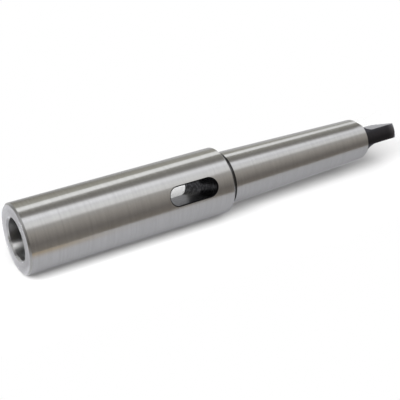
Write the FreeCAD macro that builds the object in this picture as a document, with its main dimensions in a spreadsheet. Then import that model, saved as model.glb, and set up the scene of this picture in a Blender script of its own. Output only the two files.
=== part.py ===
import FreeCAD, Part
import math
import os
import Sketcher

# An extension sleeve for taper shank drills and reamers, turned, milled and ground from one bar of
# steel. The barrel holds a number 2 taper socket with a drift slot through it, and behind the
# shoulder follows a number 3 taper shank that ends in a flat tang.
# The sleeve stands on the flat face round its socket: the origin is the centre of that face, +Z
# runs along the axis towards the tang, the slot goes through along Y and the tang's flats face X.

NODE = "sleeve"

# Driving sizes in millimetres and degrees, with what each one measures
SIZES = [
    ("barrel_diameter", 30.0, "ground outside of the barrel"),
    ("barrel_length", 95.0, "socket face to shoulder"),
    ("mouth_outer_chamfer", 0.8, "edge between socket face and barrel"),
    ("shoulder_chamfer", 0.7, "edge between barrel and shoulder"),
    ("relief_width", 2.7, "grinding relief between shoulder and shank"),
    ("relief_depth", 0.8, "how far the relief lies below the shank"),
    ("relief_corner", 0.4, "radius in the corners of the relief"),
    ("shank_gauge_diameter", 23.825, "shank diameter at its gauge line"),
    ("shank_gauge_offset", 5.0, "shoulder to gauge line"),
    ("shank_taper", 0.0502, "loss of shank diameter for each millimetre of length"),
    ("shank_length", 80.0, "shoulder to the end of the ground cone"),
    ("shank_end_chamfer", 0.2, "edge at the small end of the cone"),
    ("tang_diameter", 18.6, "turned diameter of the tang"),
    ("tang_length", 19.0, "small end of the cone to the end of the tang"),
    ("tang_thickness", 6.9, "across the milled flats"),
    ("tang_flat_length", 13.6, "length of the flats up to the root radius"),
    ("tang_root_radius", 7.0, "radius that the milling cutter leaves"),
    ("tang_end_radius", 2.5, "rounding of the tang's end"),
    ("centre_diameter", 4.0, "mouth of the centre drilling in the tang"),
    ("centre_pilot", 1.6, "pilot diameter of the centre drilling"),
    ("centre_depth", 4.2, "depth of the centre drilling"),
    ("centre_angle", 60.0, "cone angle of the centre drilling"),
    ("socket_diameter", 17.78, "socket diameter at the face"),
    ("socket_taper", 0.04995, "loss of socket diameter for each millimetre of depth"),
    ("socket_relief", 14.9, "parallel bore behind the tapered seat"),
    ("socket_depth", 67.0, "face to the end of the parallel bore"),
    ("socket_chamfer", 0.7, "edge at the socket's mouth"),
    ("drill_angle", 118.0, "point angle of the drill that left the bore's bottom"),
    ("slot_width", 7.9, "across the drift slot"),
    ("slot_length", 22.7, "drift slot over its round ends"),
    ("slot_start", 63.5, "face to the near end of the drift slot"),
    ("slot_edge", 0.5, "broken edge round the drift slot"),
]

# Lengths closer than this count as equal, in millimetres
NEAR = 1e-4

doc = FreeCAD.newDocument("taper_sleeve")
sheet = doc.addObject("Spreadsheet::Sheet", "Sizes")
for row, (alias, size, meaning) in enumerate(SIZES, start=1):
    sheet.set("A%d" % row, meaning)
    sheet.set("B%d" % row, str(size))
    sheet.setAlias("B%d" % row, alias)
doc.recompute()

# Radii and heights that several features share, as formulas of the sheet
BARREL_RADIUS = "Sizes.barrel_diameter / 2"
SHANK_START = "Sizes.barrel_length + Sizes.relief_width"
SHANK_END = "Sizes.barrel_length + Sizes.shank_length"
SHANK_START_RADIUS = (
    "(Sizes.shank_gauge_diameter"
    " + Sizes.shank_taper * (Sizes.shank_gauge_offset - Sizes.relief_width)) / 2"
)
SHANK_END_RADIUS = (
    "(Sizes.shank_gauge_diameter"
    " - Sizes.shank_taper * (Sizes.shank_length - Sizes.shank_gauge_offset)) / 2"
)
RELIEF_RADIUS = SHANK_START_RADIUS + " - Sizes.relief_depth"
TANG_RADIUS = "Sizes.tang_diameter / 2"
TANG_END = SHANK_END + " + Sizes.tang_length"
SOCKET_RADIUS = "Sizes.socket_diameter / 2"
SOCKET_RELIEF_RADIUS = "Sizes.socket_relief / 2"
SEAT_END = "(Sizes.socket_diameter - Sizes.socket_relief) / Sizes.socket_taper"


def value(formula):
    """The number that a formula of the sheet stands for."""
    return float(sheet.evalExpression(formula))


def origin_plane(body, role):
    """One of the body's own origin planes."""
    for feature in body.Origin.OriginFeatures:
        if feature.Role == role:
            return feature
    raise ValueError("no origin plane " + role)


def new_sketch(body, name, role):
    """An empty sketch on one of the body's origin planes."""
    sketch = body.newObject("Sketcher::SketchObject", name)
    sketch.AttachmentSupport = [(origin_plane(body, role), "")]
    sketch.MapMode = "FlatFace"
    return sketch


def drive(sketch, constraint, formula):
    """Adds a constraint whose size follows a formula of the sheet."""
    index = sketch.addConstraint(constraint)
    sketch.setExpression("Constraints[%d]" % index, formula)


def pin_point(sketch, geometry, end, across, along):
    """Holds a point at sheet formulas from the sketch's origin. A formula of 0 puts it on an axis."""
    if across == "0":
        sketch.addConstraint(Sketcher.Constraint("PointOnObject", geometry, end, -2))
    else:
        distance = Sketcher.Constraint("DistanceX", -1, 1, geometry, end, value(across))
        drive(sketch, distance, across)
    if along == "0":
        sketch.addConstraint(Sketcher.Constraint("PointOnObject", geometry, end, -1))
    else:
        distance = Sketcher.Constraint("DistanceY", -1, 1, geometry, end, value(along))
        drive(sketch, distance, along)


def straight_outline(sketch, corners):
    """A closed outline of straight lines. Each corner is a pair of sheet formulas."""
    points = [FreeCAD.Vector(value(across), value(along), 0) for across, along in corners]
    lines = []
    for start, end in zip(points, points[1:] + points[:1]):
        lines.append(sketch.addGeometry(Part.LineSegment(start, end), False))
    for line, following in zip(lines, lines[1:] + lines[:1]):
        sketch.addConstraint(Sketcher.Constraint("Coincident", line, 2, following, 1))
    for line, (across, along) in zip(lines, corners):
        pin_point(sketch, line, 1, across, along)


def turn(body, kind, name, sketch):
    """A full turn of a sketch about its upright axis, which adds or cuts."""
    feature = body.newObject(kind, name)
    feature.Profile = sketch
    feature.ReferenceAxis = (sketch, ["V_Axis"])
    feature.Angle = 360.0
    doc.recompute()
    return feature


def must_cut(feature, before):
    """Stops the build if a cut has left the solid as it was."""
    if feature.Shape.Volume > before - NEAR:
        raise ValueError(feature.Name + " cuts nothing")


def ring_edges(shape, radius, height):
    """Names of the circular edges with this radius at this height."""
    names = []
    for number, edge in enumerate(shape.Edges, start=1):
        curve = edge.Curve
        if not isinstance(curve, Part.Circle):
            continue
        if abs(curve.Radius - value(radius)) < NEAR and abs(curve.Center.z - value(height)) < NEAR:
            names.append("Edge%d" % number)
    if not names:
        raise ValueError("no round edge at " + height)
    return names


def soften(body, kind, name, rings, size):
    """Chamfers or rounds the circular edges given as pairs of radius and height."""
    base = body.Tip
    names = []
    for radius, height in rings:
        names += ring_edges(base.Shape, radius, height)
    feature = body.newObject(kind, name)
    feature.Base = (base, names)
    feature.setExpression("Radius" if kind == "PartDesign::Fillet" else "Size", size)
    doc.recompute()
    return feature


def turned_blank(body):
    """Barrel, grinding relief, tapered shank and round tang, turned in one profile."""
    sketch = new_sketch(body, "BlankProfile", "XZ_Plane")
    straight_outline(sketch, [
        ("0", "0"),
        (BARREL_RADIUS, "0"),
        (BARREL_RADIUS, "Sizes.barrel_length"),
        (RELIEF_RADIUS, "Sizes.barrel_length"),
        (RELIEF_RADIUS, SHANK_START),
        (SHANK_START_RADIUS, SHANK_START),
        (SHANK_END_RADIUS, SHANK_END),
        (TANG_RADIUS, SHANK_END),
        (TANG_RADIUS, TANG_END),
        ("0", TANG_END),
    ])
    turn(body, "PartDesign::Revolution", "Blank", sketch)


def turned_edges(body):
    """The chamfers and radii that the lathe leaves on the outside."""
    chamfer = "PartDesign::Chamfer"
    fillet = "PartDesign::Fillet"
    soften(body, chamfer, "MouthOuterEdge", [(BARREL_RADIUS, "0")], "Sizes.mouth_outer_chamfer")
    soften(body, chamfer, "ShoulderEdge", [(BARREL_RADIUS, "Sizes.barrel_length")],
           "Sizes.shoulder_chamfer")
    soften(body, chamfer, "ShankEndEdge", [(SHANK_END_RADIUS, SHANK_END)],
           "Sizes.shank_end_chamfer")
    soften(body, fillet, "TangEndEdge", [(TANG_RADIUS, TANG_END)], "Sizes.tang_end_radius")
    relief_corners = [(RELIEF_RADIUS, "Sizes.barrel_length"), (RELIEF_RADIUS, SHANK_START)]
    soften(body, fillet, "ReliefCorners", relief_corners, "Sizes.relief_corner")


def taper_socket(body):
    """The tapered seat, the parallel bore behind it and the cone that the drill left."""
    before = body.Tip.Shape.Volume
    point_height = SOCKET_RELIEF_RADIUS + " / tan(Sizes.drill_angle / 2)"
    sketch = new_sketch(body, "SocketProfile", "XZ_Plane")
    straight_outline(sketch, [
        ("0", "0"),
        (SOCKET_RADIUS, "0"),
        (SOCKET_RELIEF_RADIUS, SEAT_END),
        (SOCKET_RELIEF_RADIUS, "Sizes.socket_depth"),
        ("0", "Sizes.socket_depth + " + point_height),
    ])
    must_cut(turn(body, "PartDesign::Groove", "Socket", sketch), before)
    soften(body, "PartDesign::Chamfer", "MouthInnerEdge", [(SOCKET_RADIUS, "0")],
           "Sizes.socket_chamfer")


def centre_drilling(body):
    """The centre in the tang's end, on which the taper is ground."""
    before = body.Tip.Shape.Volume
    cone_height = "(Sizes.centre_diameter - Sizes.centre_pilot) / 2 / tan(Sizes.centre_angle / 2)"
    sketch = new_sketch(body, "CentreProfile", "XZ_Plane")
    straight_outline(sketch, [
        ("0", TANG_END),
        ("0", TANG_END + " - Sizes.centre_depth"),
        ("Sizes.centre_pilot / 2", TANG_END + " - Sizes.centre_depth"),
        ("Sizes.centre_pilot / 2", TANG_END + " - " + cone_height),
        ("Sizes.centre_diameter / 2", TANG_END),
    ])
    must_cut(turn(body, "PartDesign::Groove", "Centre", sketch), before)


def drift_slot(body):
    """The slot with round ends, milled right through the barrel along Y."""
    before = body.Tip.Shape.Volume
    low_centre = "Sizes.slot_start + Sizes.slot_width / 2"
    high_centre = "Sizes.slot_start + Sizes.slot_length - Sizes.slot_width / 2"
    radius = value("Sizes.slot_width / 2")
    low = FreeCAD.Vector(0, value(low_centre), 0)
    high = FreeCAD.Vector(0, value(high_centre), 0)
    side = FreeCAD.Vector(radius, 0, 0)
    facing = FreeCAD.Vector(0, 0, 1)
    sketch = new_sketch(body, "SlotProfile", "XZ_Plane")
    right = sketch.addGeometry(Part.LineSegment(low + side, high + side), False)
    top_circle = Part.Circle(high, facing, radius)
    top = sketch.addGeometry(Part.ArcOfCircle(top_circle, 0, math.pi), False)
    left = sketch.addGeometry(Part.LineSegment(high - side, low - side), False)
    bottom_circle = Part.Circle(low, facing, radius)
    bottom = sketch.addGeometry(Part.ArcOfCircle(bottom_circle, math.pi, 2 * math.pi), False)
    ring = [right, top, left, bottom]
    for piece, following in zip(ring, ring[1:] + ring[:1]):
        sketch.addConstraint(Sketcher.Constraint("Tangent", piece, 2, following, 1))
    sketch.addConstraint(Sketcher.Constraint("Vertical", right))
    pin_point(sketch, top, 3, "0", high_centre)
    pin_point(sketch, bottom, 3, "0", low_centre)
    drive(sketch, Sketcher.Constraint("Radius", top, radius), "Sizes.slot_width / 2")
    pocket = body.newObject("PartDesign::Pocket", "DriftSlot")
    pocket.Profile = sketch
    pocket.Type = "ThroughAll"
    pocket.Midplane = True
    doc.recompute()
    must_cut(pocket, before)


def slot_edges(body):
    """The broken edge where the slot breaks through the barrel on both sides."""
    base = body.Tip
    radius = value(BARREL_RADIUS)
    low = value("Sizes.slot_start")
    high = value("Sizes.slot_start + Sizes.slot_length")
    names = []
    for number, edge in enumerate(base.Shape.Edges, start=1):
        inside = True
        for point in edge.discretize(5):
            on_barrel = abs(math.hypot(point.x, point.y) - radius) < NEAR
            inside = inside and on_barrel and low - NEAR < point.z < high + NEAR
        if inside:
            names.append("Edge%d" % number)
    feature = body.newObject("PartDesign::Chamfer", "SlotEdges")
    feature.Base = (base, names)
    feature.setExpression("Size", "Sizes.slot_edge")
    doc.recompute()


def tang_flats(body):
    """Two parallel flats, each milled with a cutter that leaves a round root."""
    before = body.Tip.Shape.Volume
    flat = "Sizes.tang_thickness / 2"
    root_centre = flat + " + Sizes.tang_root_radius"
    root_start = TANG_END + " - Sizes.tang_flat_length"
    root_end = root_start + " - Sizes.tang_root_radius"
    outside = "Sizes.barrel_diameter"
    inner_top = FreeCAD.Vector(value(flat), value(TANG_END), 0)
    inner_low = FreeCAD.Vector(value(flat), value(root_start), 0)
    root_low = FreeCAD.Vector(value(root_centre), value(root_end), 0)
    outer_low = FreeCAD.Vector(value(outside), value(root_end), 0)
    outer_top = FreeCAD.Vector(value(outside), value(TANG_END), 0)
    centre = FreeCAD.Vector(value(root_centre), value(root_start), 0)
    circle = Part.Circle(centre, FreeCAD.Vector(0, 0, 1), value("Sizes.tang_root_radius"))
    sketch = new_sketch(body, "TangProfile", "XZ_Plane")
    face = sketch.addGeometry(Part.LineSegment(inner_top, inner_low), False)
    root = sketch.addGeometry(Part.ArcOfCircle(circle, math.pi, 1.5 * math.pi), False)
    floor = sketch.addGeometry(Part.LineSegment(root_low, outer_low), False)
    back = sketch.addGeometry(Part.LineSegment(outer_low, outer_top), False)
    lid = sketch.addGeometry(Part.LineSegment(outer_top, inner_top), False)
    sketch.addConstraint(Sketcher.Constraint("Tangent", face, 2, root, 1))
    sketch.addConstraint(Sketcher.Constraint("Tangent", root, 2, floor, 1))
    sketch.addConstraint(Sketcher.Constraint("Coincident", floor, 2, back, 1))
    sketch.addConstraint(Sketcher.Constraint("Coincident", back, 2, lid, 1))
    sketch.addConstraint(Sketcher.Constraint("Coincident", lid, 2, face, 1))
    sketch.addConstraint(Sketcher.Constraint("Vertical", face))
    sketch.addConstraint(Sketcher.Constraint("Horizontal", floor))
    pin_point(sketch, face, 1, flat, TANG_END)
    pin_point(sketch, root, 3, root_centre, root_start)
    pin_point(sketch, back, 2, outside, TANG_END)
    sketch.addConstraint(Sketcher.Constraint("Vertical", back))
    pocket = body.newObject("PartDesign::Pocket", "TangFlat")
    pocket.Profile = sketch
    pocket.Type = "ThroughAll"
    pocket.Midplane = True
    doc.recompute()
    must_cut(pocket, before)
    before = pocket.Shape.Volume
    mirrored = body.newObject("PartDesign::Mirrored", "BothTangFlats")
    mirrored.Originals = [pocket]
    mirrored.MirrorPlane = (origin_plane(body, "YZ_Plane"), [""])
    body.Tip = mirrored
    doc.recompute()
    must_cut(mirrored, before)


def check_document():
    """Stops the build if any object has failed."""
    for item in doc.Objects:
        failed = {"Invalid", "Error"} & set(item.State)
        if failed:
            raise ValueError(item.Name + " is " + ", ".join(sorted(failed)))


def check_solid(body):
    """Stops the build unless the body is one valid closed solid."""
    shape = body.Shape
    if shape.isNull() or not shape.isValid() or len(shape.Solids) != 1:
        raise ValueError(body.Label + " is not one valid solid")


sleeve = doc.addObject("PartDesign::Body", "Sleeve")
sleeve.Label = NODE
turned_blank(sleeve)
turned_edges(sleeve)
taper_socket(sleeve)
centre_drilling(sleeve)
drift_slot(sleeve)
slot_edges(sleeve)
tang_flats(sleeve)
doc.recompute()
check_document()
check_solid(sleeve)

os.makedirs("parts", exist_ok=True)
sleeve.Shape.exportStep("parts/" + NODE + ".step")

box = sleeve.Shape.BoundBox
print(NODE, "volume", round(sleeve.Shape.Volume, 1), "mm3")
print("box", [round(v, 3) for v in (box.XMin, box.YMin, box.ZMin, box.XMax, box.YMax, box.ZMax)])
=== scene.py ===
import math

import bpy
from mathutils import Matrix, Vector


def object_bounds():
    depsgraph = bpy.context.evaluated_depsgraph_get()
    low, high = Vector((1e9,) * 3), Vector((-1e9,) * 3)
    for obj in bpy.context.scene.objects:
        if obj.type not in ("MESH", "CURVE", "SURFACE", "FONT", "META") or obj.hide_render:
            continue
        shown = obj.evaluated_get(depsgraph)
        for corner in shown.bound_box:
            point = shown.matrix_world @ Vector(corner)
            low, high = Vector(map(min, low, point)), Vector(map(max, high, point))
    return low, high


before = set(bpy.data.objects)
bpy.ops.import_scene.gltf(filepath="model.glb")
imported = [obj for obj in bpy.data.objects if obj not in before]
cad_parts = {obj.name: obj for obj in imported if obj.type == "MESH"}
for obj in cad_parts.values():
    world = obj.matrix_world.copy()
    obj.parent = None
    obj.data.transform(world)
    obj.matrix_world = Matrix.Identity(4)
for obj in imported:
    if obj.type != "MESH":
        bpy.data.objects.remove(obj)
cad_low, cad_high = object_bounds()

# A taper sleeve stands on its socket face at the origin, axis +Z. In the photograph it lies on a
# white sheet, so the sheet is an upright board that touches the barrel, and the camera sees the
# sleeve from below and to one side, turned so that the board's normal points up in the picture.
MM = 0.001
DEGREE = math.radians(1.0)
UPWARD = Vector((0.0, 0.0, 1.0))
MIDDLE_HEIGHT = cad_high.z / 2

# Sizes of the sleeve that the finish follows
BARREL_RADIUS = 15.0 * MM
BARREL_LENGTH = 95.0 * MM
SHANK_RADIUS = 12.038 * MM
SHANK_SLOPE = 0.0251
RELIEF_END = 97.7 * MM
SHANK_END = 175.0 * MM
TANG_END = 194.0 * MM
SLOT_LOW = 63.5 * MM
SLOT_HIGH = 86.2 * MM
SLOT_HALF_WIDTH = 3.95 * MM
SLOT_OUTLINE = SLOT_HALF_WIDTH + 0.5 * MM
DRILL_RADIUS = 7.45 * MM

# The photographed view
SHEET_TURN = 24.3 * DEGREE
SHEET_UP = Vector((-math.cos(SHEET_TURN), -math.sin(SHEET_TURN), 0.0))
CAMERA_PLACE = Vector((-47.27, -338.81, -95.80)) * MM
CAMERA_AIM = Vector((6.33, 0.0, 84.39)) * MM
CAMERA_CLIP = (0.01, 10.0)
FRAME_PIXELS = 400.0
FOCAL_PIXELS = 880.2
SENSOR_WIDTH = 36.0

# Soft lamps over the sheet: (name, degrees that it leans to the camera's side, width, length,
# power, shift along the axis from the middle of the sleeve)
LAMP_REACH = 0.36
LAMPS = [
    ("key", 43.0, 0.42, 1.1, 20.8, -0.08),
    ("fill", -10.0, 0.24, 1.1, 3.6, -0.08),
    ("end", 25.0, 0.30, 0.30, 13.0, -0.42),
]


def grey(level):
    return (level, level, level, 1.0)


class Tree:
    """Adds nodes to a material or world and joins them."""

    def __init__(self, owner):
        owner.use_nodes = True
        self.nodes = owner.node_tree.nodes
        self.links = owner.node_tree.links
        self.nodes.clear()

    def add(self, kind, **settings):
        node = self.nodes.new(kind)
        for name, setting in settings.items():
            setattr(node, name, setting)
        return node

    def feed(self, socket, source):
        if isinstance(source, bpy.types.NodeSocket):
            self.links.new(source, socket)
        else:
            socket.default_value = source

    def math(self, operation, *values):
        node = self.add("ShaderNodeMath", operation=operation)
        for socket, source in zip(node.inputs, values):
            self.feed(socket, source)
        return node.outputs[0]

    def times(self, first, *others):
        """The product of two or more values."""
        product = first
        for other in others:
            product = self.math("MULTIPLY", product, other)
        return product

    def apart(self, first, second):
        """How far apart two values are."""
        return self.math("ABSOLUTE", self.math("SUBTRACT", first, second))

    def length(self, first, second):
        """The length of a vector in a plane."""
        return self.math("SQRT", self.math("ADD", self.times(first, first), self.times(second, second)))

    def step(self, source, low, high, below=0.0, above=1.0):
        """A smooth change from one value to another as the source goes from low to high."""
        node = self.add("ShaderNodeMapRange", interpolation_type="SMOOTHSTEP")
        for socket, given in zip(node.inputs, (source, low, high, below, above)):
            self.feed(socket, given)
        return node.outputs[0]

    def fall(self, source, low, high):
        """A smooth fall from 1 to 0 as the source goes from low to high."""
        return self.step(source, low, high, 1.0, 0.0)

    def combine(self, x, y, z):
        node = self.add("ShaderNodeCombineXYZ")
        for socket, source in zip(node.inputs, (x, y, z)):
            self.feed(socket, source)
        return node.outputs[0]

    def separate(self, vector):
        node = self.add("ShaderNodeSeparateXYZ")
        self.feed(node.inputs[0], vector)
        return node.outputs

    def object_place(self):
        return self.add("ShaderNodeTexCoord").outputs["Object"]

    def angle_from_sheet(self, x, y):
        """The angle round the axis: 0 is away from the sheet, and it grows to the camera's side."""
        along_up = self.math("ADD", self.times(x, SHEET_UP.x), self.times(y, SHEET_UP.y))
        along_side = self.math("SUBTRACT", self.times(y, SHEET_UP.x), self.times(x, SHEET_UP.y))
        return self.math("ARCTAN2", along_side, along_up)

    def noise(self, vector, scale, detail, roughness):
        node = self.add("ShaderNodeTexNoise")
        self.feed(node.inputs["Vector"], vector)
        self.feed(node.inputs["Scale"], scale)
        self.feed(node.inputs["Detail"], detail)
        self.feed(node.inputs["Roughness"], roughness)
        return node.outputs["Fac"]

    def blend(self, factor, first, second, kind="MIX"):
        """Mixes two colours."""
        node = self.add("ShaderNodeMix", data_type="RGBA", blend_type=kind)
        self.feed(node.inputs["Factor"], factor)
        self.feed(node.inputs["A"], first)
        self.feed(node.inputs["B"], second)
        return node.outputs["Result"]

    def lerp(self, factor, first, second):
        """Mixes two numbers."""
        node = self.add("ShaderNodeMix", data_type="FLOAT")
        self.feed(node.inputs[0], factor)
        self.feed(node.inputs[2], first)
        self.feed(node.inputs[3], second)
        return node.outputs[0]

    def ramp(self, factor, stops):
        """A colour ramp from a list of (position, colour)."""
        node = self.add("ShaderNodeValToRGB")
        elements = node.color_ramp.elements
        while len(elements) < len(stops):
            elements.new(0.5)
        for element, (position, colour) in zip(elements, stops):
            element.position = position
            element.color = (*colour, 1.0)
        self.feed(node.inputs[0], factor)
        return node.outputs[0]

    def ramp_round(self, angle, levels):
        """A ramp once round the axis, by (degrees, level, share of red, share of blue)."""
        share = self.math("ADD", self.math("DIVIDE", angle, 2.0 * math.pi), 0.5)
        stops = []
        for degrees, level, red, blue in levels:
            stops.append(((degrees + 180.0) / 360.0, (level * red, level, level * blue)))
        return self.ramp(share, stops)

    def emission(self, colour, strength):
        node = self.add("ShaderNodeEmission")
        self.feed(node.inputs["Color"], colour)
        self.feed(node.inputs["Strength"], strength)
        return node.outputs[0]

    def diffuse(self, colour):
        node = self.add("ShaderNodeBsdfDiffuse")
        self.feed(node.inputs["Color"], colour)
        return node.outputs[0]

    def clear(self):
        return self.add("ShaderNodeBsdfTransparent").outputs[0]

    def sum_shaders(self, first, second):
        node = self.add("ShaderNodeAddShader")
        self.feed(node.inputs[0], first)
        self.feed(node.inputs[1], second)
        return node.outputs[0]

    def mix_shaders(self, factor, first, second):
        node = self.add("ShaderNodeMixShader")
        self.feed(node.inputs[0], factor)
        self.feed(node.inputs[1], first)
        self.feed(node.inputs[2], second)
        return node.outputs[0]

    def finish(self, surface, kind="ShaderNodeOutputMaterial"):
        self.feed(self.add(kind).inputs["Surface"], surface)


# Where each finish starts and ends on the steel, as the two ends of its soft border
CONE_DEPTH = (0.04 * MM, 0.10 * MM)
SHOULDER = (BARREL_LENGTH - 0.05 * MM, BARREL_LENGTH + 0.02 * MM)
RELIEF_STOP = (RELIEF_END, RELIEF_END + 0.1 * MM)
TANG_START = (SHANK_END - 0.03 * MM, SHANK_END)
TANG_WEAR = (TANG_END - 5.5 * MM, TANG_END - 0.5 * MM)
SLOT_WALL = (SLOT_HALF_WIDTH + 0.03 * MM, SLOT_HALF_WIDTH + 0.05 * MM)
SLOT_EDGE = (SLOT_OUTLINE - 0.02 * MM, SLOT_OUTLINE + 0.02 * MM)
SLOT_EDGE_RADIUS = (BARREL_RADIUS - 1.2 * MM, BARREL_RADIUS - 1.1 * MM)
BORE_RADIUS = (9.65 * MM, 9.70 * MM)
BORE_START = (0.72 * MM, 0.75 * MM)
# Painted shade: the seat's colour darkens over this depth
SEAT_PAINTED_SHADE = (0.5 * MM, 6.0 * MM)
DRILLED_RADIUS = (DRILL_RADIUS + 0.05 * MM, DRILL_RADIUS + 0.15 * MM)
FACE_DEPTH = (0.02 * MM, 0.05 * MM)
# Painted highlight: the socket face's outer band is lighter towards its edge
FACE_HIGHLIGHT_RADIUS = (11.5 * MM, 13.9 * MM)
LIP_RADIUS = (9.50 * MM, 9.58 * MM)
LIP_DEPTH = (0.70 * MM, 0.73 * MM)
PATCH_TURN = 62.0 * DEGREE
PATCH_HALF_WIDTH = (14.0 * DEGREE, 28.0 * DEGREE)

# Noises on the steel: (scale, detail, roughness)
FINE_MARKS = (6.0, 4.0, 0.6)
COARSE_MARKS = (1.3, 3.0, 0.6)
BROAD_MARKS = (0.35, 3.0, 0.5)
SEAT_MARKS = (1.0, 4.0, 0.7)
SCALE_SPOTS = (900.0, 4.0, 0.6)
WALL_SPOTS = (650.0, 3.0, 0.6)

# How the noises are stretched and used
RING_SCALE = 1000.0
RING_TURN_SCALE = 0.6
SEAT_SCALE = 700.0
SEAT_TURN_SCALE = 5.0
COARSE_RANGE = (0.34, 0.66)
COARSE_SHARE = 0.32
BROAD_RANGE = (0.2, 0.8)
WALL_RANGE = (0.40, 0.72)
BUMP_STRENGTH = 0.12
BUMP_DISTANCE = 0.01 * MM

# Colours of the steel: a pair goes from the dark to the light places of its noise
GROUND_COLOURS = ((0.57, 0.57, 0.565, 1.0), (0.68, 0.68, 0.675, 1.0))
SCALE_COLOURS = ((0.048, 0.048, 0.056, 1.0), (0.088, 0.088, 0.100, 1.0))
WEAR_COLOUR = (0.26, 0.26, 0.285, 1.0)
WALL_COLOURS = ((0.006, 0.006, 0.007, 1.0), (0.12, 0.12, 0.125, 1.0))
# Painted dark reflection on the slot's broken edge
EDGE_PAINTED_DARK_COLOUR = (0.010, 0.010, 0.011, 1.0)
SEAT_FRONT_COLOURS = ((0.34, 0.34, 0.345, 1.0), (0.58, 0.58, 0.57, 1.0))
# Painted shade: the seat's darker colours deep in the bore
SEAT_SHADED_COLOURS = ((0.09, 0.09, 0.095, 1.0), (0.24, 0.24, 0.235, 1.0))
DRILLED_COLOUR = (0.62, 0.62, 0.63, 1.0)
# Painted highlight on the socket face's outer band
FACE_HIGHLIGHT_COLOUR = grey(0.74)
# Painted shade on the lip, where it would glint
LIP_SHADE_COLOUR = grey(0.42)
RELIEF_COLOUR = grey(0.14)

# Gloss of the steel
OUTSIDE_ROUGHNESS = (0.20, 0.24)
BORE_ROUGHNESS = 0.36
LIP_ROUGHNESS = 0.72
SLOT_ROUGHNESS = 0.35
TANG_ROUGHNESS = 0.15
ANISOTROPY = 0.9
ANISOTROPY_TURN = 0.25


def relief_mask(tree, z, radius):
    """The groove behind the shoulder: what lies inside the shank's cone there."""
    cone_drop = tree.times(tree.math("SUBTRACT", z, BARREL_LENGTH), SHANK_SLOPE)
    cone_radius = tree.math("SUBTRACT", SHANK_RADIUS, cone_drop)
    off_cone = tree.step(tree.apart(radius, cone_radius), *CONE_DEPTH)
    return tree.times(tree.step(z, *SHOULDER), tree.fall(z, *RELIEF_STOP), off_cone)


def slot_masks(tree, x, z, radius):
    """The slot's broken edge, and the edge together with the wall."""
    middle = (SLOT_LOW + SLOT_HIGH) / 2
    straight = (SLOT_HIGH - SLOT_LOW) / 2 - SLOT_HALF_WIDTH
    past_straight = tree.math("SUBTRACT", tree.apart(z, middle), straight)
    from_middle = tree.length(x, tree.math("MAXIMUM", past_straight, 0.0))
    on_edge = tree.times(tree.fall(from_middle, *SLOT_EDGE), tree.step(radius, *SLOT_EDGE_RADIUS))
    on_wall = tree.fall(from_middle, *SLOT_WALL)
    return on_edge, tree.math("MAXIMUM", on_edge, on_wall)


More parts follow.
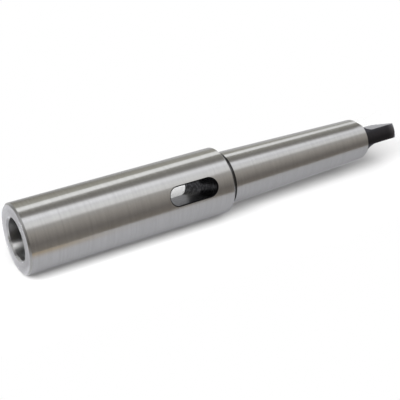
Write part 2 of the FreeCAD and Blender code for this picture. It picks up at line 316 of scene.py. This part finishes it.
def steel_material():
    """Ground steel outside and in the seat, and dark scale on tang, slot and relief, with painted shade
    in the seat and on the lip, a painted highlight on the socket face and a painted dark reflection on
    the slot's edge.
    """
    material = bpy.data.materials.new("ground_steel")
    tree = Tree(material)
    place = tree.object_place()
    x, y, z = tree.separate(place)
    radius = tree.length(x, y)
    turn = tree.math("ARCTAN2", y, x)

    # Masks
    in_relief = relief_mask(tree, z, radius)
    on_tang = tree.step(z, *TANG_START)
    on_edge, in_slot = slot_masks(tree, x, z, radius)
    in_bore = tree.times(tree.fall(radius, *BORE_RADIUS), tree.step(z, *BORE_START))
    drilled = tree.fall(radius, *DRILLED_RADIUS)
    # Painted highlight: the socket face grows lighter towards its outer edge
    face_highlight = tree.times(tree.fall(z, *FACE_DEPTH), tree.step(radius, *FACE_HIGHLIGHT_RADIUS))

    # Painted shade: the lip is duller and darker beside the light patch in the bore, where it would
    # glint
    on_lip = tree.times(tree.fall(radius, *LIP_RADIUS), tree.fall(z, *LIP_DEPTH))
    dull_shaded_lip = tree.times(on_lip, tree.fall(tree.apart(turn, PATCH_TURN), *PATCH_HALF_WIDTH))

    # Grinding marks run round the axis
    ring_z = tree.times(z, RING_SCALE)
    ring_radius = tree.times(radius, RING_SCALE)
    ring = tree.combine(ring_z, ring_radius, tree.times(turn, RING_TURN_SCALE))
    marks = tree.noise(ring, *FINE_MARKS)
    coarse = tree.step(tree.noise(ring, *COARSE_MARKS), *COARSE_RANGE)
    ground = tree.blend(tree.lerp(COARSE_SHARE, marks, coarse), *GROUND_COLOURS)

    # Painted shade: the seat's colour darkens inwards, deeper in the bore
    seat_place = tree.combine(tree.times(z, SEAT_SCALE), tree.times(turn, SEAT_TURN_SCALE), 0.0)
    seat_marks = tree.noise(seat_place, *SEAT_MARKS)
    seat_front = tree.blend(seat_marks, *SEAT_FRONT_COLOURS)
    seat_shaded = tree.blend(seat_marks, *SEAT_SHADED_COLOURS)
    seat = tree.blend(tree.step(z, *SEAT_PAINTED_SHADE), seat_front, seat_shaded)
    seat = tree.blend(drilled, seat, DRILLED_COLOUR)

    # Dark scale, and the slot's broken edge painted near black as a painted dark reflection
    scale_spots = tree.noise(place, *SCALE_SPOTS)
    tang = tree.blend(scale_spots, *SCALE_COLOURS)
    tang = tree.blend(tree.step(z, *TANG_WEAR), tang, WEAR_COLOUR)
    wall_spots = tree.step(tree.noise(place, *WALL_SPOTS), *WALL_RANGE)
    wall = tree.blend(on_edge, tree.blend(wall_spots, *WALL_COLOURS), EDGE_PAINTED_DARK_COLOUR)

    colour = tree.blend(in_bore, ground, seat)
    colour = tree.blend(face_highlight, colour, FACE_HIGHLIGHT_COLOUR)
    colour = tree.blend(dull_shaded_lip, colour, LIP_SHADE_COLOUR)
    colour = tree.blend(in_slot, colour, wall)
    colour = tree.blend(in_relief, colour, RELIEF_COLOUR)
    colour = tree.blend(on_tang, colour, tang)

    rough = tree.step(tree.noise(ring, *BROAD_MARKS), *BROAD_RANGE, *OUTSIDE_ROUGHNESS)
    rough = tree.lerp(in_bore, rough, BORE_ROUGHNESS)
    rough = tree.lerp(dull_shaded_lip, rough, LIP_ROUGHNESS)
    rough = tree.lerp(in_slot, rough, SLOT_ROUGHNESS)
    rough = tree.lerp(on_tang, rough, TANG_ROUGHNESS)

    bump = tree.add("ShaderNodeBump")
    bump.inputs["Strength"].default_value = BUMP_STRENGTH
    bump.inputs["Distance"].default_value = BUMP_DISTANCE
    height = tree.lerp(tree.math("MAXIMUM", on_tang, in_slot), marks, scale_spots)
    tree.feed(bump.inputs["Height"], height)

    shader = tree.add("ShaderNodeBsdfPrincipled")
    shader.inputs["Metallic"].default_value = 1.0
    shader.inputs["Anisotropic"].default_value = ANISOTROPY
    shader.inputs["Anisotropic Rotation"].default_value = ANISOTROPY_TURN
    tangent = tree.add("ShaderNodeTangent", direction_type="RADIAL", axis="Z")
    tree.feed(shader.inputs["Base Color"], colour)
    tree.feed(shader.inputs["Roughness"], rough)
    tree.feed(shader.inputs["Tangent"], tangent.outputs[0])
    tree.feed(shader.inputs["Normal"], bump.outputs[0])
    tree.finish(shader.outputs[0])
    return material


# The studio round the sleeve, by the angle round its axis: 0 is away from the sheet, and positive
# angles lie on the camera's side. Each stop is (degrees, level, share of red, share of blue).
# This is for directions above the socket face's plane.
STUDIO = [
    (-180, 0.60, 1.00, 1.03),
    (-90, 0.24, 1.05, 0.88),
    (-78, 0.24, 1.05, 0.88),
    (-68, 0.33, 1.05, 0.85),
    (-50, 0.45, 1.02, 0.88),
    (-24, 0.26, 1.04, 0.92),
    (-10, 0.215, 1.05, 0.92),
    (-3, 0.34, 1.03, 0.96),
    (3, 1.05, 1.00, 1.02),
    (10, 1.09, 1.00, 1.04),
    (18, 0.86, 1.00, 1.02),
    (26, 0.91, 1.00, 1.00),
    (34, 0.87, 1.01, 0.99),
    (42, 0.44, 1.04, 0.95),
    (58, 0.37, 1.07, 0.92),
    (74, 0.27, 1.08, 0.92),
    (90, 0.17, 1.10, 0.92),
    (104, 0.17, 1.12, 0.88),
    (112, 0.19, 1.14, 0.84),
    (140, 0.30, 1.10, 0.88),
    (180, 0.60, 1.00, 1.03),
]

# The same for directions below that plane
LOW_STUDIO = [
    (-180, 0.50, 1.00, 1.03),
    (-150, 0.62, 1.00, 1.02),
    (-100, 0.66, 1.00, 1.02),
    (-75, 0.50, 1.00, 1.00),
    (-42, 0.60, 1.00, 1.00),
    (-18, 0.40, 1.00, 1.01),
    (0, 0.90, 1.00, 1.01),
    (34, 0.80, 1.00, 1.01),
    (42, 0.40, 1.02, 0.98),
    (60, 0.16, 1.08, 0.92),
    (90, 0.05, 1.14, 0.84),
    (115, 0.25, 1.14, 0.84),
    (140, 0.40, 1.08, 0.92),
    (180, 0.50, 1.00, 1.03),
]

# The same for the floor, which the outer chamfer mirrors
FLOOR_STUDIO = [
    (-180, 0.55, 1.00, 1.01),
    (-150, 0.62, 1.00, 1.01),
    (-100, 0.70, 1.00, 1.01),
    (-75, 0.75, 1.00, 1.00),
    (-42, 0.60, 1.00, 1.00),
    (-18, 0.45, 1.00, 1.00),
    (-4, 0.30, 1.02, 0.98),
    (12, 0.30, 1.02, 0.98),
    (34, 0.50, 1.00, 1.00),
    (52, 0.24, 1.04, 0.96),
    (70, 0.12, 1.08, 0.90),
    (82, 0.26, 1.04, 0.96),
    (94, 0.50, 1.00, 1.01),
    (180, 0.55, 1.00, 1.01),
]

# A rise is a range of the height of a direction, from -1, straight down, to 1, straight up
WALLS_RISE = (-0.20, 0.12)
NADIR_RISE = (-0.85, -0.60)
NADIR_COLOUR = (0.27, 0.265, 0.25, 1.0)

# The soft box over the sleeve is brighter at its near end
BOX_START = (-3.0 * DEGREE, 3.0 * DEGREE)
BOX_END = (34.0 * DEGREE, 42.0 * DEGREE)
BOX_RISE = (0.20, 0.68)
BOX_LEVELS = (1.12, 0.90)

# A narrow strip light, which leans away from the axis
STRIP_ANGLE = -36.0 * DEGREE
STRIP_HEIGHT = 0.296
STRIP_LEAN = -42.0 * DEGREE
STRIP_HALF_WIDTH = (7.8 * DEGREE, 10.6 * DEGREE)
STRIP_RISE = (-0.10, 0.12)
STRIP_COLOUR_RISE = (0.35, 0.60)
STRIP_COLOURS = ((1.16, 1.16, 1.15, 1.0), (1.02, 1.02, 1.01, 1.0))

# A window behind the sleeve, which leans the other way
WINDOW_HEIGHT = 0.32
WINDOW_LEAN = 68.0 * DEGREE
WINDOW_END = (-98.0 * DEGREE, -78.0 * DEGREE)
WINDOW_COLOUR_RISE = (0.30, 0.55)
WINDOW_COLOURS = (grey(0.55), grey(0.63))


def studio_world():
    """Soft boxes and grey walls for what the steel mirrors, and white for what the camera sees."""
    world = bpy.data.worlds.new("studio")
    bpy.context.scene.world = world
    tree = Tree(world)
    x, y, z = tree.separate(tree.add("ShaderNodeTexCoord").outputs["Generated"])
    angle = tree.angle_from_sheet(x, y)

    low_walls = tree.ramp_round(angle, LOW_STUDIO)
    low_walls = tree.blend(tree.step(z, *NADIR_RISE), NADIR_COLOUR, low_walls)
    walls = tree.ramp_round(angle, STUDIO)
    on_box = tree.times(tree.step(angle, *BOX_START), tree.fall(angle, *BOX_END))
    box_level = tree.lerp(on_box, 1.0, tree.step(z, *BOX_RISE, *BOX_LEVELS))
    walls = tree.blend(1.0, walls, tree.combine(box_level, box_level, box_level), "MULTIPLY")
    lit = tree.blend(tree.step(z, *WALLS_RISE), low_walls, walls)

    window_shift = tree.times(tree.math("SUBTRACT", WINDOW_HEIGHT, z), WINDOW_LEAN)
    in_window = tree.fall(tree.math("ADD", angle, window_shift), *WINDOW_END)
    in_window = tree.times(in_window, tree.step(z, *WALLS_RISE))
    lit = tree.blend(in_window, lit, tree.blend(tree.step(z, *WINDOW_COLOUR_RISE), *WINDOW_COLOURS))

    strip_shift = tree.times(tree.math("SUBTRACT", z, STRIP_HEIGHT), STRIP_LEAN)
    off_strip = tree.apart(angle, tree.math("ADD", strip_shift, STRIP_ANGLE))
    in_strip = tree.times(tree.fall(off_strip, *STRIP_HALF_WIDTH), tree.step(z, *STRIP_RISE))
    lit = tree.blend(in_strip, lit, tree.blend(tree.step(z, *STRIP_COLOUR_RISE), *STRIP_COLOURS))

    path = tree.add("ShaderNodeLightPath")
    background = tree.add("ShaderNodeBackground")
    tree.feed(background.inputs["Color"], tree.blend(path.outputs["Is Camera Ray"], lit, grey(1.0)))
    tree.finish(background.outputs[0], "ShaderNodeOutputWorld")


# The sheet's size. Across is from the line where it touches the barrel to the camera's side, and
# up is from the socket face.
SHEET_FRONT = 50.0 * MM
SHEET_BACK = 70.0 * MM
SHEET_HALF_HEIGHT = 200.0 * MM

# What the camera sees of the sheet, and where it ends, from the middle
PAPER_COLOUR = grey(0.15)
PAPER_GLOW = grey(0.02)
PAPER_END_ACROSS = (36.0 * MM, 48.0 * MM)
PAPER_END_UP = (110.0 * MM, 140.0 * MM)

# How brightly the sheet glows where the steel mirrors it, a painted glow for the sheet's light and
# shade: (millimetres across, level)
MIRRORED_GLOW = [
    (-70.0, 1.7), (-42.0, 1.75), (-27.0, 2.15), (-10.0, 1.8), (-3.0, 1.2),
    (1.0, 1.2), (3.6, 1.45), (4.8, 0.66), (50.0, 0.66),
]

# Its rim on the camera's side is tan there, above all near the socket face, as a painted reflection in
# the steel.
# A pair of colours is for the middle and the rim.
RIM_ACROSS = (24.0 * MM, 46.0 * MM)
RIM_UP = (15.0 * MM, 55.0 * MM)
RIM_LEVELS = (1.0, 0.12)
MIRRORED_PAPER = ((0.042, 0.042, 0.044, 1.0), (0.03, 0.025, 0.018, 1.0))
MIRRORED_GLOW_COLOURS = ((0.25, 0.25, 0.26, 1.0), (0.275, 0.215, 0.15, 1.0))

# Painted shade: on the side away from the camera its glow is darker below a slanting line near the
# socket face
SLANT = 0.22
SLANT_SHIFT = 3.0 * MM
SLANT_UP = (-2.0 * MM, 3.0 * MM)
SLANT_LEVELS = (0.45, 1.16)
SLANT_ACROSS = (-2.0 * MM, 0.0)

# Painted light: past the mouth, a little to the camera's side, its glow is brighter for the mouth's
# edge
MOUTH_UP = (0.5 * MM, 1.5 * MM)
MOUTH_START = (3.0 * MM, 5.0 * MM)
MOUTH_END = (4.0 * MM, 16.0 * MM)
MOUTH_LEVEL = 2.7


def mirrored_sheet(tree, across, up):
    """What the steel mirrors of the sheet: a painted glow for its light and shade."""
    in_rim = tree.times(tree.step(across, *RIM_ACROSS), tree.step(up, *RIM_UP, *RIM_LEVELS))
    width = SHEET_BACK + SHEET_FRONT
    share = tree.math("DIVIDE", tree.math("ADD", across, SHEET_BACK), width)
    stops = []
    for stop, level in MIRRORED_GLOW:
        stops.append(((stop * MM + SHEET_BACK) / width, (level, level, level)))
    level = tree.ramp(share, stops)

    slanted = tree.math("ADD", tree.math("SUBTRACT", up, tree.times(across, SLANT)), SLANT_SHIFT)
    slant_level = tree.step(slanted, *SLANT_UP, *SLANT_LEVELS)
    level = tree.times(level, tree.lerp(tree.fall(across, *SLANT_ACROSS), 1.0, slant_level))
    past_mouth = tree.times(tree.fall(up, *MOUTH_UP), tree.step(across, *MOUTH_START))
    past_mouth = tree.times(past_mouth, tree.fall(across, *MOUTH_END))
    level = tree.times(level, tree.lerp(past_mouth, 1.0, MOUTH_LEVEL))

    plain = tree.diffuse(tree.blend(in_rim, *MIRRORED_PAPER))
    sheet_glow = tree.emission(tree.blend(in_rim, *MIRRORED_GLOW_COLOURS), level)
    return tree.sum_shaders(plain, sheet_glow)


def sheet_material():
    """White paper under strong light, which the camera sees with the sleeve's shadow on it."""
    material = bpy.data.materials.new("white_sheet")
    tree = Tree(material)
    across, from_middle = tree.separate(tree.object_place())[:2]
    mirrored = mirrored_sheet(tree, across, tree.math("ADD", from_middle, MIDDLE_HEIGHT))
    seen = tree.sum_shaders(tree.diffuse(PAPER_COLOUR), tree.emission(PAPER_GLOW, 1.0))
    by_camera = tree.add("ShaderNodeLightPath").outputs["Is Camera Ray"]
    paper = tree.mix_shaders(by_camera, mirrored, seen)

    # For the camera it fades out towards its edges and is clear from behind
    past_side = tree.step(tree.math("ABSOLUTE", across), *PAPER_END_ACROSS)
    past_end = tree.step(tree.math("ABSOLUTE", from_middle), *PAPER_END_UP)
    behind = tree.add("ShaderNodeNewGeometry").outputs["Backfacing"]
    gone = tree.math("MAXIMUM", tree.math("MAXIMUM", past_side, past_end), behind)
    tree.finish(tree.mix_shaders(tree.times(gone, by_camera), paper, tree.clear()))
    return material


def stage_plate(name, corners, material):
    """A flat plate of the stage, which casts no shadow."""
    mesh = bpy.data.meshes.new(name)
    mesh.from_pydata(corners, [], [(0, 1, 2, 3)])
    mesh.materials.append(material)
    plate = bpy.data.objects.new(name, mesh)
    plate.visible_shadow = False
    bpy.context.scene.collection.objects.link(plate)
    return plate


def white_sheet():
    """The paper that the sleeve lies on in the photograph: upright, and touching the barrel."""
    low = -SHEET_HALF_HEIGHT
    high = SHEET_HALF_HEIGHT
    corners = [(-SHEET_BACK, low), (SHEET_FRONT, low), (SHEET_FRONT, high), (-SHEET_BACK, high)]
    sheet = stage_plate("white_sheet", [(x, y, 0.0) for x, y in corners], sheet_material())
    side = UPWARD.cross(SHEET_UP)
    rotation = Matrix((side, SHEET_UP.cross(side), SHEET_UP)).transposed()
    centre = SHEET_UP * -BARREL_RADIUS + UPWARD * MIDDLE_HEIGHT
    sheet.matrix_world = Matrix.Translation(centre) @ rotation.to_4x4()


def flat_square(name, height, half, material):
    """A level square round the axis, which only the camera and the steel's gloss meet."""
    corners = [(-half, -half), (half, -half), (half, half), (-half, half)]
    square = stage_plate(name, [(x, y, height) for x, y in corners], material)
    square.visible_diffuse = False
    square.visible_transmission = False
    return square


# The floor lies just under the socket face. The hole lets the steel mirror what is below it.
FLOOR_HALF = 240.0 * MM
FLOOR_DROP = 0.02 * MM
FLOOR_HOLE = 14.35 * MM
FLOOR_SHADE_REACH = 60.0 * MM
FLOOR_SHADE_POWER = 1.5


def floor_material():
    """White from above, with the sleeve's soft shade, and clear from below."""
    material = bpy.data.materials.new("floor")
    tree = Tree(material)
    x, y = tree.separate(tree.object_place())[:2]
    path = tree.add("ShaderNodeLightPath")
    by_camera = path.outputs["Is Camera Ray"]
    shade = tree.add("ShaderNodeAmbientOcclusion")
    shade.inputs["Distance"].default_value = FLOOR_SHADE_REACH
    shade_level = tree.math("POWER", shade.outputs["AO"], FLOOR_SHADE_POWER)
    mirrored = tree.ramp_round(tree.angle_from_sheet(x, y), FLOOR_STUDIO)
    colour = tree.blend(by_camera, mirrored, grey(1.0))
    glow = tree.emission(colour, tree.lerp(by_camera, 1.0, shade_level))

    under_face = tree.math("LESS_THAN", tree.length(x, y), FLOOR_HOLE)
    open_hole = tree.times(under_face, path.outputs["Is Glossy Ray"])
    behind = tree.add("ShaderNodeNewGeometry").outputs["Backfacing"]
    tree.finish(tree.mix_shaders(tree.math("MAXIMUM", open_hole, behind), glow, tree.clear()))
    return material


# A card under the floor, which the camera doesn't see
CARD_HALF = 200.0 * MM
CARD_DROP = 40.0 * MM
CARD_LEVEL = 20.0
CARD_START = (-10.0 * DEGREE, 34.0 * DEGREE)
CARD_END = (35.0 * DEGREE, 39.0 * DEGREE)
CARD_NEAR = (CARD_DROP * 0.8, CARD_DROP * 1.5)
CARD_FAR = (CARD_DROP * 2.6, CARD_DROP * 4.9)


def mouth_card_material():
    """A bright sector of a level card, which shines into the socket."""
    material = bpy.data.materials.new("mouth_card")
    material.cycles.emission_sampling = "NONE"
    tree = Tree(material)
    x, y = tree.separate(tree.object_place())[:2]
    angle = tree.angle_from_sheet(x, y)
    reach = tree.length(x, y)
    in_sector = tree.times(tree.step(angle, *CARD_START), tree.fall(angle, *CARD_END))
    in_reach = tree.times(tree.step(reach, *CARD_NEAR), tree.fall(reach, *CARD_FAR))
    bright = tree.times(in_sector, in_reach)
    glow = tree.emission(grey(1.0), tree.times(bright, CARD_LEVEL))
    tree.finish(tree.mix_shaders(bright, tree.clear(), glow))
    return material


def sheet_lamp(name, lean, width, length, power, shift):
    """A soft lamp over the sheet, which the steel doesn't mirror."""
    data = bpy.data.lights.new(name, "AREA")
    data.shape = "RECTANGLE"
    data.size = width
    data.size_y = length
    data.energy = power
    lamp = bpy.data.objects.new(name, data)
    lamp.visible_glossy = False
    lamp.visible_camera = False
    away = Matrix.Rotation(lean, 3, "Z") @ SHEET_UP
    rotation = Matrix((UPWARD.cross(away), UPWARD, away)).transposed()
    place = away * LAMP_REACH + UPWARD * (MIDDLE_HEIGHT + shift)
    lamp.matrix_world = Matrix.Translation(place) @ rotation.to_4x4()
    bpy.context.scene.collection.objects.link(lamp)


def photograph_camera():
    """The camera that took the photograph."""
    data = bpy.data.cameras.new("camera")
    data.sensor_width = SENSOR_WIDTH
    data.lens = FOCAL_PIXELS / FRAME_PIXELS * SENSOR_WIDTH
    data.clip_start, data.clip_end = CAMERA_CLIP
    camera = bpy.data.objects.new("camera", data)
    back = (CAMERA_PLACE - CAMERA_AIM).normalized()
    right = SHEET_UP.cross(back).normalized()
    rotation = Matrix((right, back.cross(right), back)).transposed()
    camera.matrix_world = Matrix.Translation(CAMERA_PLACE) @ rotation.to_4x4()
    bpy.context.scene.collection.objects.link(camera)
    bpy.context.scene.camera = camera


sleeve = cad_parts["sleeve"]
sleeve.data.materials.clear()
sleeve.data.materials.append(steel_material())
studio_world()
white_sheet()
flat_square("floor", -FLOOR_DROP, FLOOR_HALF, floor_material())
mouth_card = flat_square("mouth_card", -CARD_DROP, CARD_HALF, mouth_card_material())
mouth_card.visible_camera = False
for lamp_name, lean_degrees, *lamp_settings in LAMPS:
    sheet_lamp(lamp_name, lean_degrees * DEGREE, *lamp_settings)
photograph_camera()
bpy.context.scene.view_settings.view_transform = "Standard"
